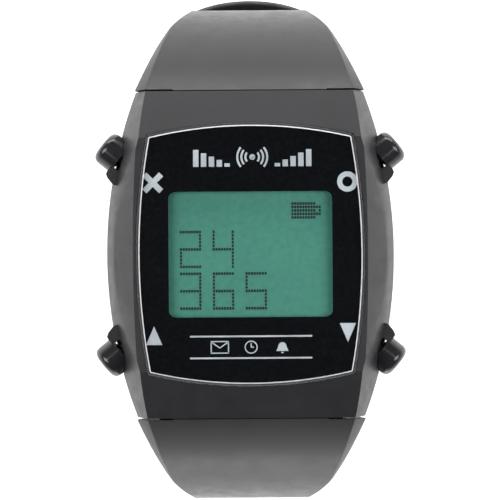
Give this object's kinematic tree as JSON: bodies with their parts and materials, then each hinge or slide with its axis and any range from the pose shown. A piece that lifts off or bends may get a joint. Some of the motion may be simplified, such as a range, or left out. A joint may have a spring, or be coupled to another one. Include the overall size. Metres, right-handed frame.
{
  "type": "wrist pager",
  "caption": "Wrist-worn pager: barrel resin case with a bevelled lens over a dot display, a push button at each corner, and a moulded resin strap with keepers and a pin buckle.",
  "frame": {"origin": "centre of the case back's outer face", "axes": "+Z out of the display, +Y towards the twelve o'clock end of the case, +X towards the three o'clock side"},
  "size_m": [0.0462, 0.0797, 0.0643],
  "materials": {
    "case_resin": "fine satin moulded resin",
    "cover_resin": "fine satin moulded resin",
    "strap_resin": "fine matte moulded resin",
    "lens_clear": "polished clear acrylic",
    "mask_black": "black print behind the lens",
    "print_pale": "pale printed ink",
    "display_field": "reflective display field",
    "display_ink": "dark display dots",
    "button_gloss": "glossy moulded cap",
    "steel_bright": "plain turned steel",
    "steel_buckle": "brushed steel",
    "rubber_black": "black rubber",
    "holder_white": "white moulded plastic",
    "elastomer_pink": "layered conductive rubber",
    "board_green": "green lacquered glass fibre",
    "chip_black": "moulded black epoxy",
    "shield_tin": "tin-plated sheet",
    "copper": "lacquered copper wire",
    "cell_foil": "laminated foil pouch",
    "foam_grey": "closed-cell foam",
    "brass_gold": "gold-flashed brass",
    "tungsten": "sintered heavy metal"
  },
  "bodies": {
    "case": {"case_shell": "case_resin", "case_back": "cover_resin", "case_back_gasket": "rubber_black", "case_back_screws": "steel_bright", "lens": "lens_clear", "lens_mask": "mask_black", "printed_marks": "print_pale", "lens_gasket": "rubber_black", "display_glass": "display_field", "display_backlight": "holder_white", "display_holder": "holder_white", "contact_strips": "elastomer_pink", "main_board": "board_green", "board_screws": "steel_bright", "board_chips": "chip_black", "radio_shield": "shield_tin", "crystal": "steel_bright", "button_switches": "chip_black", "antenna_rod": "chip_black", "antenna_winding": "copper", "battery_cell": "cell_foil", "battery_pad": "foam_grey", "buzzer_disc": "brass_gold", "motor_can": "steel_bright", "motor_boot": "rubber_black", "charge_contacts": "brass_gold", "button_bushes": "steel_bright", "button_o_rings": "rubber_black", "button_spring_upper_left": "steel_bright", "button_spring_upper_right": "steel_bright", "button_spring_lower_left": "steel_bright", "button_spring_lower_right": "steel_bright", "upper_lug_pin": "steel_bright", "lower_lug_pin": "steel_bright"},
    "button_upper_left": {"button_cap_upper_left": "button_gloss", "button_stem_upper_left": "steel_bright", "button_clip_upper_left": "steel_bright"},
    "button_upper_right": {"button_cap_upper_right": "button_gloss", "button_stem_upper_right": "steel_bright", "button_clip_upper_right": "steel_bright"},
    "button_lower_left": {"button_cap_lower_left": "button_gloss", "button_stem_lower_left": "steel_bright", "button_clip_lower_left": "steel_bright"},
    "button_lower_right": {"button_cap_lower_right": "button_gloss", "button_stem_lower_right": "steel_bright", "button_clip_lower_right": "steel_bright"},
    "motor_rotor": {"motor_shaft": "steel_bright", "motor_weight": "tungsten"},
    "upper_band": {"upper_strap": "strap_resin"},
    "lower_band": {"lower_strap": "strap_resin"},
    "buckle": {"buckle_frame": "steel_buckle", "buckle_pin": "steel_bright"},
    "prong": {"buckle_prong": "steel_bright"},
    "keeper": {"free_keeper": "strap_resin"}
  },
  "joints": [
    {"name": "press_upper_left", "type": "slide", "parent": "case", "child": "button_upper_left", "axis": [0.7771, -0.6293, 0], "range_m": [0, 0.0008], "stiffness_N_per_m": 900, "springref_m": -0.0004, "deforming": ["button_spring_upper_left"]},
    {"name": "press_upper_right", "type": "slide", "parent": "case", "child": "button_upper_right", "axis": [-0.7771, -0.6293, 0], "range_m": [0, 0.0008], "stiffness_N_per_m": 900, "springref_m": -0.0004, "deforming": ["button_spring_upper_right"]},
    {"name": "press_lower_left", "type": "slide", "parent": "case", "child": "button_lower_left", "axis": [0.7771, 0.6293, 0], "range_m": [0, 0.0008], "stiffness_N_per_m": 900, "springref_m": -0.0004, "deforming": ["button_spring_lower_left"]},
    {"name": "press_lower_right", "type": "slide", "parent": "case", "child": "button_lower_right", "axis": [-0.7771, 0.6293, 0], "range_m": [0, 0.0008], "stiffness_N_per_m": 900, "springref_m": -0.0004, "deforming": ["button_spring_lower_right"]},
    {"name": "motor_spin", "type": "hinge", "parent": "case", "child": "motor_rotor", "pos_m": [-0.003, 0.0129, 0.00395], "axis": [1, 0, 0], "continuous": true},
    {"name": "upper_band_swing", "type": "hinge", "parent": "case", "child": "upper_band", "pos_m": [0, 0.023, 0.0047], "axis": [1, 0, 0], "range_deg": [-2, 4]},
    {"name": "lower_band_swing", "type": "hinge", "parent": "case", "child": "lower_band", "pos_m": [0, -0.023, 0.0047], "axis": [-1, 0, 0], "range_deg": [-2, 4]},
    {"name": "buckle_swing", "type": "hinge", "parent": "upper_band", "child": "buckle", "pos_m": [0, 0.02591, -0.04921], "axis": [1, 0, 0], "range_deg": [-20, 100]},
    {"name": "prong_swing", "type": "hinge", "parent": "buckle", "child": "prong", "pos_m": [0, 0.02591, -0.04921], "axis": [1, 0, 0], "range_deg": [0, 75]},
    {"name": "keeper_slide", "type": "slide", "parent": "upper_band", "child": "keeper", "axis": [0, -0.4226, -0.9063], "range_m": [-0.003, 0.003]}
  ]
}
